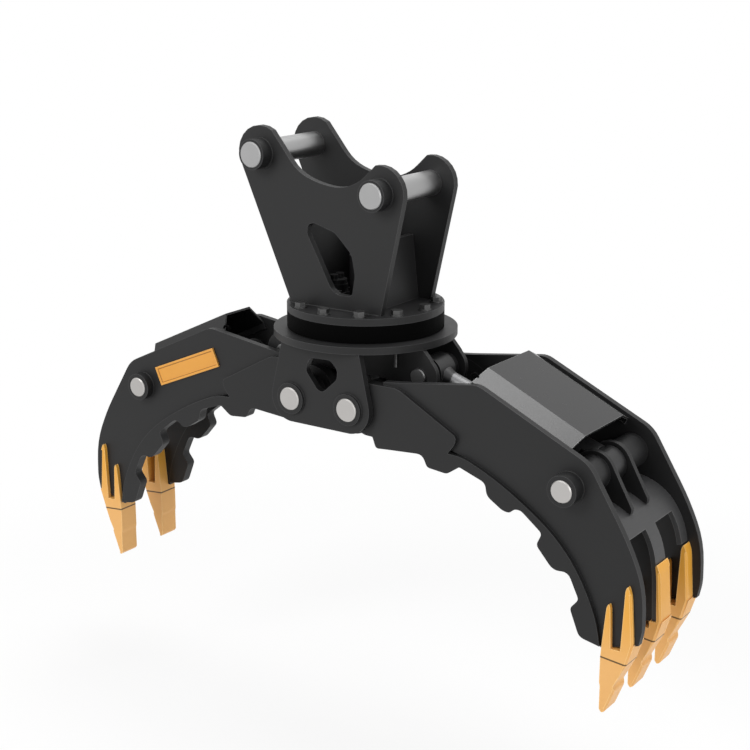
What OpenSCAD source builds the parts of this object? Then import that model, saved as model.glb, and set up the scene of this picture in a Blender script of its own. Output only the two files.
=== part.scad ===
// Rotating grapple for an excavator: a mounting head, a slew ring, and a lower frame
// that carries a three-tine jaw (+X) and a two-tine jaw (-X), each with its own cylinder.
// Millimetres. The origin lies on the slew axis at the level of the tooth tips, jaws open.

/* [Mounting head] */
// Diameter of the two pins that hang the grapple on the excavator
mount_pin_d = 60; // [50:1:66]
// Clear gap between the two ear plates
ear_gap = 196; // [184:2:210]
// Thickness of an ear plate
ear_t = 16; // [12:1:20]
// Radius of an ear round its pin
ear_r = 65; // [58:1:70]
// Distance of the stick pin behind the slew axis
stick_back = 221; // [205:1:235]
// Height of the stick pin above the round plate
stick_rise = 406; // [380:2:430]
// Distance of the link pin in front of the slew axis
link_ahead = 118; // [105:1:130]
// Height of the link pin above the round plate
link_rise = 339; // [320:2:360]
// Length of the boss that stands on the outside of each ear
ear_boss_len = 35; // [20:1:45]
// Wall of the bosses round the mounting pins
ear_boss_wall = 6; // [5:0.5:10]
// Thickness of the cross plates between the ears
web_t = 12; // [8:1:16]

/* [Slew ring] */
// Height of the top of the round plate above the tooth tips
plate_z = 728; // [715:1:740]
// Diameter of the round plate under the slew ring
plate_d = 440; // [425:1:460]
// Thickness of the round plate
plate_t = 17; // [14:1:20]
// Outside diameter of the slew ring and of the head flange
ring_d = 376; // [366:1:390]
// Height of the slew ring
ring_h = 42; // [38:1:50]
// Thickness of the head flange
flange_t = 17; // [14:1:20]
// Number of flange bolts
bolt_count = 12; // [8:2:16]
// Thread diameter of the flange bolts
bolt_d = 16; // [14:1:18]
// Thread diameter of the bolts that hold the inner ring
ring_bolt_d = 12; // [10:1:12]
// Teeth of the slew gear inside the inner ring
ring_teeth = 56; // [56:2:56]
// Teeth of the motor pinion
pinion_teeth = 14; // [14:2:14]
// Number of balls between the two rings
ball_count = 36; // [24:1:44]
// Diameter of a ball
ball_d = 16; // [12:1:18]

/* [Lower frame] */
// Distance of each jaw pivot from the slew axis
jaw_x = 82; // [78:1:88]
// Depth of the jaw pivots below the top of the round plate
jaw_below = 151; // [145:1:158]
// Diameter of the jaw pivot pins
jaw_pin_d = 55; // [50:1:58]
// Clear gap between the front and rear bracket plates
bracket_gap = 344; // [344:1:352]
// Thickness of a bracket plate
bracket_t = 16; // [12:1:20]
// Distance of each cylinder clevis pin from the slew axis
eye_x = 197; // [192:1:202]
// Depth of the clevis pins below the top of the round plate
eye_below = 82; // [80:1:86]
// Diameter of the clevis pins
eye_pin_d = 40; // [34:1:42]

/* [Jaws] */
// Distance of the tooth tips from the slew axis, jaws open
tip_x = 742; // [725:1:760]
// Distance of the cylinder pins from the slew axis, jaws open
cyl_x = 640; // [632:1:648]
// Depth of the cylinder pins below the top of the round plate, jaws open
cyl_below = 233; // [226:1:240]
// Diameter of the cylinder pins
cyl_pin_d = 50; // [44:1:54]
// Half width of the three-tine jaw over its side plates
wide_half = 160; // [160:1:161]
// Half width of the two-tine jaw over its side plates
narrow_half = 98; // [96:1:98]
// Thickness of the side plates
side_t = 16; // [12:1:18]
// How far the claw plates stand proud of the side plates
claw_proud = 10; // [6:1:10]
// Thickness of the belly plate
floor_t = 12; // [8:1:16]
// Thickness of the sheet metal guards
guard_t = 5; // [4:0.5:8]
// Width of a tooth
tooth_w = 56; // [50:1:56]

/* [Cylinders] */
// Outside diameter of the barrels
barrel_d = 84; // [78:1:88]
// Bore of the barrels
bore_d = 63; // [56:1:66]
// Diameter of the piston rods
rod_d = 40; // [32:1:42]
// Visible rod length from the clevis pin to the gland, jaws open
gland_dist = 150; // [140:1:160]
// Free play of the clevis pin in the rod eye
eye_play = 12.5; // [12:0.5:13]

/* [Hidden] */
$fn = 48;

// Shared clearances and the overrun of all cuts
over = 1;
run_fit = 0.05;
ball_gap = 0.3;
face_gap = 1;
weld_gap = 0.05;

// Heights of the main levels
jaw_z = plate_z - jaw_below;
cyl_z = plate_z - cyl_below;
eye_z = plate_z - eye_below;
plate_under = plate_z - plate_t;
flange_z = plate_z + ring_h;
deck_z = flange_z + flange_t;

// Widths of the jaws and of the lower frame
wide_in = wide_half - side_t;
narrow_in = narrow_half - side_t;
bracket_out = bracket_gap / 2 + bracket_t;
pin_boss = 7;
pin_proud = 3.5;
boss_wall = 10;

// Flat parts are drawn in x and z and given their thickness along y
module along_y(y0, y1) {
    translate([0, y1, 0]) rotate([90, 0, 0]) linear_extrude(y1 - y0) children();
}

module rod_y(x, z, d, y0, y1) {
    translate([x, y1, z]) rotate([90, 0, 0]) cylinder(d = d, h = y1 - y0);
}

module tube_y(x, z, d_out, d_in, y0, y1) {
    difference() {
        rod_y(x, z, d_out, y0, y1);
        rod_y(x, z, d_in, y0 - over, y1 + over);
    }
}

// A closed outline whose corners are blended; the third number of a point is its blend
corner_r = 8;
corner_steps = 4;
function blend(a, b, c, r) = r == 0 ? [[b[0], b[1]]] :
    let (p = [b[0], b[1]], u = [a[0], a[1]] - p, v = [c[0], c[1]] - p,
        d = min(r * corner_r, norm(u) / 2, norm(v) / 2),
        s = p + u / norm(u) * d, e = p + v / norm(v) * d)
    [for (i = [0:corner_steps]) let (t = i / corner_steps)
        (1 - t) * (1 - t) * s + 2 * t * (1 - t) * p + t * t * e];
function outline(p) = [for (i = [0:len(p) - 1])
    each blend(p[(i + len(p) - 1) % len(p)], p[i], p[(i + 1) % len(p)], p[i][2])];

// Points of a jaw as shares of its reach and depth, measured from the pivot
jaw_reach = tip_x - jaw_x;
function jaw_pt(s) = [jaw_x + s[0] * jaw_reach, jaw_z - s[1] * jaw_z, s[2]];
function jaw_pts(list) = [for (s = list) jaw_pt(s)];

claw_top_shares = [[0.045, -0.112, 1], [0.176, -0.113, 1], [0.2, -0.105, 2], [0.425, 0.035, 2],
    [0.419, 0.068, 1], [0.392, 0.107, 0]];
claw_edge_shares = [[0.455, 0.112, 5], [0.575, 0.168, 9], [0.69, 0.245, 9], [0.79, 0.325, 9],
    [0.87, 0.42, 9], [0.93, 0.535, 9], [0.968, 0.64, 9], [0.983, 0.735, 0]];
claw_teeth_shares = [[0.908, 0.718, 1.5], [0.871, 0.612, 1], [0.902, 0.57, 1], [0.86, 0.47, 2],
    [0.805, 0.478, 2], [0.739, 0.393, 1.2], [0.76, 0.343, 1.2], [0.678, 0.27, 1],
    [0.652, 0.272, 1], [0.637, 0.291, 1], [0.61, 0.288, 1], [0.547, 0.243, 1.5],
    [0.541, 0.193, 1.5], [0.438, 0.152, 0.6], [0.39, 0.191, 1], [0.31, 0.182, 1],
    [0.291, 0.133, 2], [0.135, 0.146, 2], [0.098, 0.15, 1], [0.084, 0.105, 0.4],
    [0.05, 0.104, 1], [-0.02, 0.07, 0]];
side_edge_shares = [[0.12, 0.03, 0], [0.12, -0.125, 0], [0.188, -0.133, 4], [0.494, -0.182, 2],
    [0.914, 0.042, 3], [1.062, 0.315, 9], [1.12, 0.47, 9], [1.125, 0.64, 3], [1.114, 0.699, 0],
    [1.0, 0.737, 0], [0.98, 0.745, 0]];
floor_shares = [[0.05, 0.058, 1], [0.3, 0.094, 9], [0.482, 0.132, 9], [0.79, 0.22, 9],
    [0.925, 0.242, 9], [1.0, 0.292, 9], [1.055, 0.39, 9], [1.075, 0.5, 9], [1.083, 0.7, 0]];
// The belly plate's second face: the same line, moved in by the plate's thickness
function side_step(p, i) = let (a = p[max(i - 1, 0)], b = p[min(i + 1, len(p) - 1)],
    d = [b[0] - a[0], b[1] - a[1]]) [-d[1], d[0]] / norm(d);
function offset_line(p, t) = [for (i = [len(p) - 1:-1:0])
    let (n = side_step(p, i)) [p[i][0] - n[0] * t, p[i][1] - n[1] * t, p[i][2]]];

module claw_2d() {
    polygon(outline(jaw_pts(concat(claw_top_shares, claw_edge_shares, claw_teeth_shares))));
}
lug_r = 62;

module side_2d() {
    difference() {
        polygon(outline(jaw_pts(concat(side_edge_shares,
            [for (i = [len(claw_edge_shares) - 2:-1:0]) claw_edge_shares[i]]))));
        claw_2d();
    }
}

// Hub tube round the pivot pin, welded through the claw plates
hub_d = 84;
bush_wall = 6;
bush_len = 50;

module claw_plate(w) {
    difference() {
        union() {
            along_y(w - side_t, w + claw_proud) claw_2d();
            rod_y(jaw_x, jaw_z, 2 * lug_r, w - side_t, w + claw_proud);
        }
        rod_y(jaw_x, jaw_z, hub_d + 2 * weld_gap, w - side_t - over, w + claw_proud + over);
    }
}

// The boss reaches to the same distance from the side plate on both jaws
side_boss_len = 35;
narrow_boss_len = 23;
cyl_boss_d = cyl_pin_d + 2 * boss_wall;
module side_plate(w, boss_len) {
    difference() {
        union() {
            along_y(w - side_t, w) side_2d();
            rod_y(cyl_x, cyl_z, cyl_boss_d, w - side_t, w + boss_len);
        }
        rod_y(cyl_x, cyl_z, cyl_pin_d + 2 * run_fit, w - side_t - over, w + boss_len + over);
        seat_cut(w);
    }
}

// Teeth and adapters
seam_z = 131;
seam_drop = 6;
tooth_d = 61;
tooth_back = 8;
tooth_in = tip_x - tooth_back;
tooth_out = tooth_in + tooth_d;
edge_cut_w = 6;
step_z = 62;
step_w = 4;
tip_flat = 7;
nose_len = 46;
nose_share = 0.5;
nose_gap = 0.4;
leg_out = claw_proud;

// Profile of a tooth point, from the seam down to its chisel edge
tooth_pts = [[tooth_in, seam_z, 0], [tooth_out, seam_z - seam_drop, 0],
    [tooth_in + tooth_d * 0.54 - step_w / 2, step_z + step_w, 1],
    [tooth_in + tooth_d * 0.56 + step_w / 2, step_z - step_w, 1],
    [tip_x + tip_flat, tip_flat / 2, 0.3], [tip_x, 0, 0.2], [tooth_in + 2, tip_flat, 0.3],
    [tooth_in + 2, step_z, 0.4], [tooth_in, step_z + 2 * step_w, 0.4]];

nose_in = tooth_in + tooth_d * (1 - nose_share) / 2;
nose_pts = [[nose_in, seam_z + over, 0], [tooth_out - tooth_d * (1 - nose_share) / 2, seam_z + over, 0],
    [nose_in + tooth_d * nose_share / 2, seam_z - nose_len, 0.5],
    [nose_in + tooth_d * nose_share / 5, seam_z - nose_len, 0.5]];

// A bevel along an edge from a to b at the depth y
module bevel(a, b, y, c) {
    d = b - a;
    translate([a[0], y, a[1]]) rotate([0, -atan2(d[1], d[0]), 0]) rotate([45, 0, 0])
        translate([-over, -c / 2, -c / 2]) cube([norm(d) + 2 * over, c, c]);
}

module tooth(y_mid) {
    y0 = y_mid - tooth_w / 2;
    y1 = y_mid + tooth_w / 2;
    top = [tooth_out, seam_z - seam_drop];
    tip = [tip_x + tip_flat, tip_flat / 2];
    difference() {
        along_y(y0, y1) polygon(outline(tooth_pts));
        for (y = [y0, y1]) bevel(top, tip, y, edge_cut_w);
        along_y(y0 + tooth_w / 4 - nose_gap, y1 - tooth_w / 4 + nose_gap)
            polygon(outline([for (p = nose_pts)
                [p[0] + (p[0] > nose_in + tooth_d * nose_share / 3 ? nose_gap : -nose_gap),
                p[1] - nose_gap, p[2]]]));
    }
}

// Prongs of the adapter: a short one at the inner edge and a long one at the back.
// Shares of the tooth's depth and of the long prong's top
long_top = 308;
function fork_pt(s) = [tooth_in + s[0] * tooth_d, s[1] * long_top, s[2]];
long_shares = [[0.754, 0.503, 0], [0.852, 0.961, 1], [0.934, 1, 1], [1.066, 0.935, 1.5],
    [1.213, 0.568, 1]];
short_shares = [[0.049, 0.552, 0], [0.164, 0.805, 1], [0.246, 0.838, 1], [0.311, 0.799, 1],
    [0.377, 0.503, 0]];
base_shares = [[0.033, 0.516, 0], [0.377, 0.503, 0], [0.754, 0.503, 0], [1.246, 0.568, 0]];
inner_seam = [tooth_in, seam_z, 0];
outer_seam = [tooth_out, seam_z - seam_drop, 0];
long_pts = concat([for (s = long_shares) fork_pt(s)],
    [outer_seam, [fork_pt(long_shares[0])[0], seam_z, 0]]);
short_pts = concat([inner_seam], [for (s = short_shares) fork_pt(s)],
    [[fork_pt(short_shares[4])[0], seam_z, 0]]);
base_pts = concat([inner_seam], [for (s = base_shares) fork_pt(s)], [outer_seam]);
function flat_pt(p) = [p[0], p[1]];
module fork_bevels(y) {
    bevel(flat_pt(outer_seam), flat_pt(long_pts[4]), y, edge_cut_w);
    bevel(flat_pt(long_pts[4]), flat_pt(long_pts[3]), y, edge_cut_w);
}

// Space under the plates that the adapter fills
seat_pts = [for (i = [0:len(base_pts) - 1])
    [base_pts[i][0] + (i < 2 ? -weld_gap : weld_gap), base_pts[i][1] + weld_gap]];
module seat_cut(w) {
    along_y(w - side_t - over, w + claw_proud + over) polygon(seat_pts);
}

module fork_2d() {
    polygon(outline(long_pts));
    polygon(outline(short_pts));
}

module adapter(y_in, y_plate0, y_plate1, y_out) {
    y_mid = (y_in + y_out) / 2;
    difference() {
        union() {
            along_y(y_in, y_out) polygon(outline(base_pts));
            along_y(y_plate1 + weld_gap, y_out) fork_2d();
            along_y(y_in, y_plate0 - weld_gap) fork_2d();
            along_y(y_mid - tooth_w / 4, y_mid + tooth_w / 4) polygon(outline(nose_pts));
        }
        for (y = [y_in, y_out]) fork_bevels(y);
    }
}

// The middle adapter has a full-width back strap, because its plate ends inside it
tine_t = 30;
module middle_adapter() {
    difference() {
        union() {
            along_y(-tooth_w / 2, tooth_w / 2) {
                polygon(outline(base_pts));
                difference() {
                    polygon(outline(long_pts));
                    inside_belly_2d(weld_gap);
                }
            }
            for (m = [0, 1]) mirror([0, m, 0])
                along_y(-tooth_w / 2, -tine_t / 2 - weld_gap) polygon(outline(short_pts));
            along_y(-tooth_w / 4, tooth_w / 4) polygon(outline(nose_pts));
        }
        for (y = [-tooth_w / 2, tooth_w / 2]) fork_bevels(y);
    }
}

// Belly plate between the side plates, with open slots between the tines
slot_z = 382;
leg_w = 30;
module inside_belly_2d(gap) {
    line = jaw_pts(floor_shares);
    end = line[len(line) - 1];
    polygon(concat([for (p = outline(line)) [p[0] + gap, p[1] + gap]],
        [[end[0] + gap, end[1] - over], [jaw_x, end[1] - over]]));
}
module belly(w, slots) {
    line = jaw_pts(floor_shares);
    y_leg = w - side_t - leg_w - weld_gap;
    difference() {
        along_y(-w + side_t + weld_gap, w - side_t - weld_gap)
            polygon(outline(concat(line, offset_line(line, floor_t))));
        for (s = slots)
            translate([tip_x - tooth_d, s[0], -over]) cube([3 * tooth_d, s[1] - s[0], slot_z + over]);
        for (m = [0, 1]) mirror([0, m, 0]) along_y(min(y_leg, slots[len(slots) - 1][1]), w)
            polygon([[tooth_in, 0], [tooth_in, long_top - side_t], [long_pts[2][0], long_top + over],
                [tooth_in + 2 * tooth_d, long_top - side_t], [tooth_in + 2 * tooth_d, 0]]);
        rod_y(jaw_x, jaw_z, hub_d + 2 * weld_gap, -w, w);
    }
}

// Middle tine of the three-tine jaw, inside the belly plate
tine_in_shares = [[0.9, 0.3, 1], [0.915, 0.42, 2], [0.945, 0.5, 2],
    [0.925, 0.56, 1.5], [0.955, 0.66, 1.5], [0.995, 0.73, 0]];
module middle_tine_2d() {
    line = jaw_pts(floor_shares);
    back = offset_line([for (i = [4:len(line) - 1]) line[i]], floor_t / 2);
    difference() {
        polygon([for (p = concat(outline([for (s = tine_in_shares) jaw_pt(s)]), back)) [p[0], p[1]]]);
        polygon(outline(concat(line, offset_line(line, floor_t + weld_gap))));
        polygon(seat_pts);
        translate([long_pts[0][0] - weld_gap, 0]) square([tooth_d, line[len(line) - 1][1]]);
    }
}

// Ribs that carry the cylinder pin, each with a tube out to the side plate
rib_in = 34;
rib_t = 12;
rib_r = 50;
tube_d = 80;
rib_shares = [[0.767, 0.224, 0], [0.784, 0.193, 0], [0.845, 0.142, 0], [0.912, 0.1, 0],
    [0.989, 0.258, 0.5], [0.985, 0.279, 0], [0.925, 0.25, 0], [0.79, 0.225, 0]];
module rib_pair(w) {
    for (m = [0, 1]) mirror([0, m, 0]) difference() {
        union() {
            along_y(rib_in, rib_in + rib_t) {
                difference() {
                    union() {
                        translate([cyl_x, cyl_z]) circle(r = rib_r);
                        polygon(outline(jaw_pts(rib_shares)));
                    }
                    belly_under_2d();
                }
            }
            rod_y(cyl_x, cyl_z, tube_d, rib_in, w - side_t - weld_gap);
        }
        rod_y(cyl_x, cyl_z, cyl_pin_d + 2 * run_fit, rib_in - over, w);
    }
}

// Everything on the far side of the belly plate's outer face
module belly_under_2d() {
    line = jaw_pts(floor_shares);
    polygon(concat([for (p = outline(line)) [p[0], p[1] + weld_gap]], [[tip_x, 0], [jaw_x, 0]]));
}

// Guard: a folded sheet over the cylinder, between the side plates
guard_tilt = -atan2(0.224 * jaw_z, 0.42 * jaw_reach);
guard_back = 21;
guard_len = 269;
guard_sink = 9;
guard_lip = 16;
guard_slope = 24.4;
guard_flank = 53;
narrow_sink = 29;
narrow_slope = 55;
narrow_flank = 35;
module guard(w, flank, slope, sink) {
    half = w - side_t - weld_gap;
    rise = flank * tan(slope);
    bend = guard_t * tan(slope / 2);
    low = guard_t * (1 - sin(slope)) / cos(slope);
    pts = [[-half, -guard_lip], [-half, 0], [-half + flank, rise], [half - flank, rise], [half, 0],
        [half, -guard_lip], [half - guard_t, -guard_lip], [half - guard_t, -low],
        [half - flank - bend, rise - guard_t], [-half + flank + bend, rise - guard_t],
        [-half + guard_t, -low], [-half + guard_t, -guard_lip]];
    corner = jaw_pt(side_edge_shares[3]);
    translate([corner[0], 0, corner[1]]) rotate([0, -guard_tilt, 0])
        translate([-guard_back, 0, -sink]) rotate([90, 0, 90])
            linear_extrude(guard_len) polygon(pts);
}

module hub(w) {
    tube_y(jaw_x, jaw_z, hub_d, jaw_pin_d + 2 * bush_wall + 2 * weld_gap,
        -bracket_gap / 2 + face_gap, bracket_gap / 2 - face_gap);
}

module bushes() {
    for (m = [0, 1]) mirror([0, m, 0])
        tube_y(jaw_x, jaw_z, jaw_pin_d + 2 * bush_wall, jaw_pin_d + 2 * run_fit,
            bracket_gap / 2 - face_gap - bush_len, bracket_gap / 2 - face_gap);
}

// A plain pin with bevelled ends
pin_bevel = 2;
module pin_y(x, z, d, half) {
    translate([x, half, z]) rotate([90, 0, 0]) rotate_extrude()
        polygon([[0, 0], [d / 2 - pin_bevel, 0], [d / 2, pin_bevel], [d / 2, 2 * half - pin_bevel],
            [d / 2 - pin_bevel, 2 * half], [0, 2 * half]]);
}

// Cylinder: everything lies along the line from the clevis pin to the cylinder pin
cyl_dx = cyl_x - eye_x;
cyl_dz = cyl_z - eye_z;
cyl_len = norm([cyl_dx, cyl_dz]);
cyl_tilt = -atan2(cyl_dz, cyl_dx);
eye_w = 62;
eye_wall = 5.5;
eye_d = eye_pin_d + 2 * (eye_play + eye_wall);
barrel_eye_d = 84;
gland_len = 45;
gland_lip = 12;
gland_d = barrel_d + 8;
base_wall = 14;
piston_len = 40;
piston_gap = 6;
port_d = 26;
port_h = 14;

// Local x runs from the clevis pin to the cylinder pin
module in_line() {
    translate([eye_x, 0, eye_z]) rotate([0, cyl_tilt, 0]) children();
}
module rod_x(d, x0, x1) {
    translate([x0, 0, 0]) rotate([0, 90, 0]) cylinder(d = d, h = x1 - x0);
}
bore_end = cyl_len - barrel_eye_d / 2 - base_wall;

module barrel() {
    in_line() difference() {
        union() {
            rod_x(barrel_d, gland_dist + gland_lip, cyl_len - barrel_eye_d / 4);
            translate([cyl_len, 0, 0]) rod_y(0, 0, barrel_eye_d, -eye_w / 2, eye_w / 2);
            for (x = [gland_dist + gland_len + gland_lip, bore_end - 2 * port_d])
                translate([x + port_d / 2, 0, 0]) cylinder(d = port_d, h = barrel_d / 2 + port_h);
        }
        rod_x(bore_d, gland_dist - over, bore_end);
        for (s = [-1, 1]) translate([cyl_len, s * (eye_w / 2 + barrel_eye_d / 2), 0])
            cube([2 * (rib_r + 3 * face_gap), barrel_eye_d, 2 * barrel_eye_d], center = true);
        translate([cyl_len, 0, 0]) rod_y(0, 0, cyl_pin_d + 2 * run_fit, -eye_w, eye_w);
        for (x = [gland_dist + gland_len + gland_lip, bore_end - 2 * port_d])
            translate([x + port_d / 2, 0, 0]) cylinder(d = port_d / 2, h = barrel_d);
    }
}

module gland() {
    in_line() difference() {
        union() {
            rod_x(gland_d, gland_dist, gland_dist + gland_lip);
            rod_x(bore_d - 2 * run_fit, gland_dist, gland_dist + gland_len);
        }
        rod_x(rod_d + 2 * run_fit, gland_dist - over, gland_dist + gland_len + over);
    }
}

module piston_rod() {
    in_line() {
        difference() {
            union() {
                rod_y(0, 0, eye_d, -eye_w / 2, eye_w / 2);
                rod_x(rod_d, eye_d / 2 - piston_gap, bore_end - piston_gap - piston_len);
                translate([eye_d / 2 - piston_gap, 0, 0]) rotate([0, 90, 0])
                    cylinder(d1 = eye_w - 2 * piston_gap, d2 = rod_d, h = 3 * piston_gap);
            }
            rod_y(0, 0, eye_pin_d + 2 * eye_play, -eye_w, eye_w);
        }
        rod_x(bore_d - 2 * run_fit, bore_end - piston_gap - piston_len, bore_end - piston_gap);
    }
}

// Lower frame
clevis_in = 56;
clevis_t = 12;
clevis_r = 50;
clevis_boss_in = eye_w / 2 + 2;
web_z = 92;
module bracket_2d() {
    difference() {
        union() {
            polygon(outline([[-jaw_x - 27, plate_under, 0], [jaw_x + 30, plate_under, 0],
                [jaw_x + bracket_r + 0.5, jaw_z + 6, 1], [jaw_x + 38, jaw_z - 45, 3],
                [jaw_x, jaw_z - bracket_r, 1], [-jaw_x, jaw_z - bracket_r, 1],
                [-jaw_x - 38, jaw_z - 45, 3], [-jaw_x - bracket_r - 0.5, jaw_z + 6, 1]]));
            for (s = [-1, 1]) translate([s * jaw_x, jaw_z]) circle(r = bracket_r);
        }
        polygon(outline([for (p = window_pts) [p[0], plate_z - p[1], 1]]));
    }
}
bracket_r = 58;
window_pts = [[-26, 44], [32, 42], [52, 62], [50, 86], [10, 122], [-5, 119], [-38, 78], [-36, 64]];

module bracket() {
    difference() {
        union() {
            along_y(bracket_gap / 2, bracket_out) bracket_2d();
            for (s = [-1, 1])
                rod_y(s * jaw_x, jaw_z, jaw_pin_d + 2 * boss_wall, bracket_gap / 2,
                    bracket_out + pin_boss);
        }
        for (s = [-1, 1])
            rod_y(s * jaw_x, jaw_z, jaw_pin_d + 2 * run_fit, 0, bracket_out + 2 * pin_boss);
    }
}

module frame_cross_web() {
    half = clevis_in + clevis_t;
    translate([-bracket_t / 2, -half, plate_under - web_z]) cube([bracket_t, 2 * half, web_z]);
}

// Two lug plates and their bosses for one cylinder
module clevis() {
    for (m = [0, 1]) mirror([0, m, 0]) difference() {
        union() {
            along_y(clevis_in, clevis_in + clevis_t) {
                polygon(outline([[bracket_t / 2, plate_under, 0], [eye_x + 10, plate_under, 0],
                    [eye_x + clevis_r * 0.72, eye_z + clevis_r * 0.72, 1], [eye_x, eye_z, 0],
                    [eye_x - 40, eye_z - 30, 0], [jaw_x, jaw_z + hub_d / 2 + 12, 3],
                    [bracket_t / 2, jaw_z + hub_d / 2 + 4, 0]]));
                translate([eye_x, eye_z]) circle(r = clevis_r);
            }
            rod_y(eye_x, eye_z, eye_pin_d + 2 * boss_wall, clevis_boss_in, clevis_in + clevis_t);
        }
        rod_y(eye_x, eye_z, eye_pin_d + 2 * run_fit, 0, 2 * clevis_in);
    }
}

// Gear outlines: an involute flank sampled at a few radii
flank_steps = 3;
pressure = 20;
backlash = 0.35;
function inv(a) = tan(a) * 180 / PI - a;
function flank_angle(r, z, m, play) = let (rp = m * z / 2, rb = rp * cos(pressure))
    90 / z - play * 90 / (PI * rp) + inv(pressure) - (r > rb ? inv(acos(rb / r)) : 0);
function gear_pts(z, m, r_root, r_tip, play) = [for (k = [0:z - 1]) let (c = k * 360 / z)
    each concat(
        [for (i = [0:flank_steps]) let (r = r_root + (r_tip - r_root) * i / flank_steps,
            a = c - flank_angle(r, z, m, play)) r * [cos(a), sin(a)]],
        [for (i = [flank_steps:-1:0]) let (r = r_root + (r_tip - r_root) * i / flank_steps,
            a = c + flank_angle(r, z, m, play)) r * [cos(a), sin(a)]])];

ring_wall = 39.5;
race_r = ring_d / 2 - ring_wall;
gear_wall = 36.5;
gear_module = 2 * (race_r - gear_wall) / ring_teeth;
ring_pitch = gear_module * ring_teeth / 2;
pinion_pitch = gear_module * pinion_teeth / 2;
pinion_x = -(ring_pitch - pinion_pitch);
ring_split = 0.75;
foot_gap = 2;
gear_low = 6;
gear_tip_share = 0.68;
gear_root_share = 1.25;
inner_h = ring_h - foot_gap;
race_z = plate_z + ring_h / 2;

module race_cut() {
    translate([0, 0, race_z]) rotate_extrude() translate([race_r, 0]) circle(d = ball_d + 2 * ball_gap);
}

module slew_outer() {
    difference() {
        translate([0, 0, plate_z + foot_gap]) cylinder(d = ring_d, h = ring_h - foot_gap, $fn = 96);
        translate([0, 0, plate_z]) cylinder(r = race_r + ring_split, h = ring_h + over, $fn = 96);
        race_cut();
        flange_holes(bolt_d + 2 * run_fit, plate_z + foot_gap + 8);
    }
}

module slew_inner() {
    difference() {
        translate([0, 0, plate_z]) cylinder(r = race_r - ring_split, h = inner_h, $fn = 96);
        race_cut();
        translate([0, 0, plate_z - over]) linear_extrude(ring_h + over)
            polygon(gear_pts(ring_teeth, gear_module, ring_pitch - gear_tip_share * gear_module,
                ring_pitch + gear_root_share * gear_module, -backlash));
        ring_holes(ring_bolt_d + 2 * run_fit, plate_z - over, plate_z + inner_h / 2);
    }
}

bolt_edge = 20;
ring_bolt_edge = 17;
flange_bolt_r = ring_d / 2 - bolt_edge;
ring_bolt_r = race_r - ring_bolt_edge;
module flange_holes(d, z0) {
    for (i = [0:bolt_count - 1]) rotate([0, 0, i * 360 / bolt_count])
        translate([flange_bolt_r, 0, z0]) cylinder(d = d, h = deck_z - z0 + over);
}
module ring_holes(d, z0, z1) {
    for (i = [0:bolt_count - 1]) rotate([0, 0, (i + 0.5) * 360 / bolt_count])
        translate([ring_bolt_r, 0, z0]) cylinder(d = d, h = z1 - z0);
}

// A hexagon bolt with its washer, standing on z = 0
washer_share = 1.9;
washer_t_share = 0.19;
head_share = 0.65;
hex_share = 1.73;
module hex_bolt(d, len) {
    translate([0, 0, -len]) cylinder(d = d, h = len + over);
    cylinder(d = d * washer_share, h = d * washer_t_share);
    cylinder(d = d * hex_share, h = d * (washer_t_share + head_share), $fn = 6);
}

// Head
motor_x = pinion_x;
motor_r = 24;
motor_foot = 64;
motor_foot_t = 14;
motor_h = 44;
motor_bolt_r = 34;
motor_bolt_d = 8;
shaft_d = 22;
swivel_r = 38;
swivel_h = 112;
spool_r = 24;
hatch_r = 70;
module flange() {
    difference() {
        translate([0, 0, flange_z]) cylinder(d = ring_d, h = flange_t, $fn = 96);
        flange_holes(bolt_d + 2 * run_fit, flange_z - over);
        translate([0, 0, flange_z - over]) cylinder(r = spool_r + 2 * over, h = flange_t + 2 * over);
        translate([motor_x, 0, flange_z - over])
            cylinder(d = shaft_d + 3 * over, h = flange_t + 2 * over);
        for (i = [0:3]) rotate_at_motor(i) cylinder(d = motor_bolt_d + 2 * run_fit, h = 3 * flange_t,
            center = true);
    }
}
module rotate_at_motor(i) {
    translate([motor_x, 0, deck_z]) rotate([0, 0, 45 + 90 * i]) translate([motor_bolt_r, 0, 0])
        children();
}

// Outline of an ear plate: flat foot, two round ends, and a hollow between the pins
ear_foot_back = 136;
ear_foot_front = 121;
ear_tilt_share = 0.05;
ear_arc_steps = 8;
function arc_pts(c, r, a0, a1) = [for (i = [0:ear_arc_steps])
    let (a = a0 + (a1 - a0) * i / ear_arc_steps) [c[0] + r * cos(a), c[1] + r * sin(a), 0]];
stick_c = [-stick_back, plate_z + stick_rise];
link_c = [link_ahead, plate_z + link_rise];
hollow_shares = [[0.32, 0.1, 9], [0.5, 0.17, 9], [0.68, 0.13, 9], [0.83, -0.06, 9]];
function between(s) = let (d = link_c - stick_c)
    [stick_c[0] + s[0] * d[0], stick_c[1] + s[0] * d[1] + s[1] * -140, s[2]];
ear_window = [[-84, 250, 1], [-68, 257, 1], [-9, 240, 1], [2, 231, 1], [36, 198, 1], [42, 186, 1],
    [50, 144, 1], [42, 99, 1], [33, 94, 1], [0, 94, 1], [-19, 106, 1], [-87, 230, 1]];
module ear_2d() {
    difference() {
        union() {
            polygon(outline(concat(
                [[-ear_foot_back, deck_z, 0]],
                arc_pts(stick_c, ear_r, 192, 58),
                [for (s = hollow_shares) between(s)],
                arc_pts(link_c, ear_r, 100, -18),
                [[ear_foot_front, deck_z, 0]])));
        }
        polygon(outline([for (p = ear_window) [p[0], plate_z + p[1], p[2]]]));
    }
}
module ear() {
    difference() {
        union() {
            along_y(ear_gap / 2, ear_gap / 2 + ear_t) ear_2d();
            for (c = [stick_c, link_c])
                rod_y(c[0], c[1], mount_pin_d + 2 * ear_boss_wall, ear_gap / 2,
                    ear_gap / 2 + ear_t + ear_boss_len);
        }
        for (c = [stick_c, link_c]) rod_y(c[0], c[1], mount_pin_d + 2 * run_fit, 0, ear_gap + ear_t);
    }
}
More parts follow.
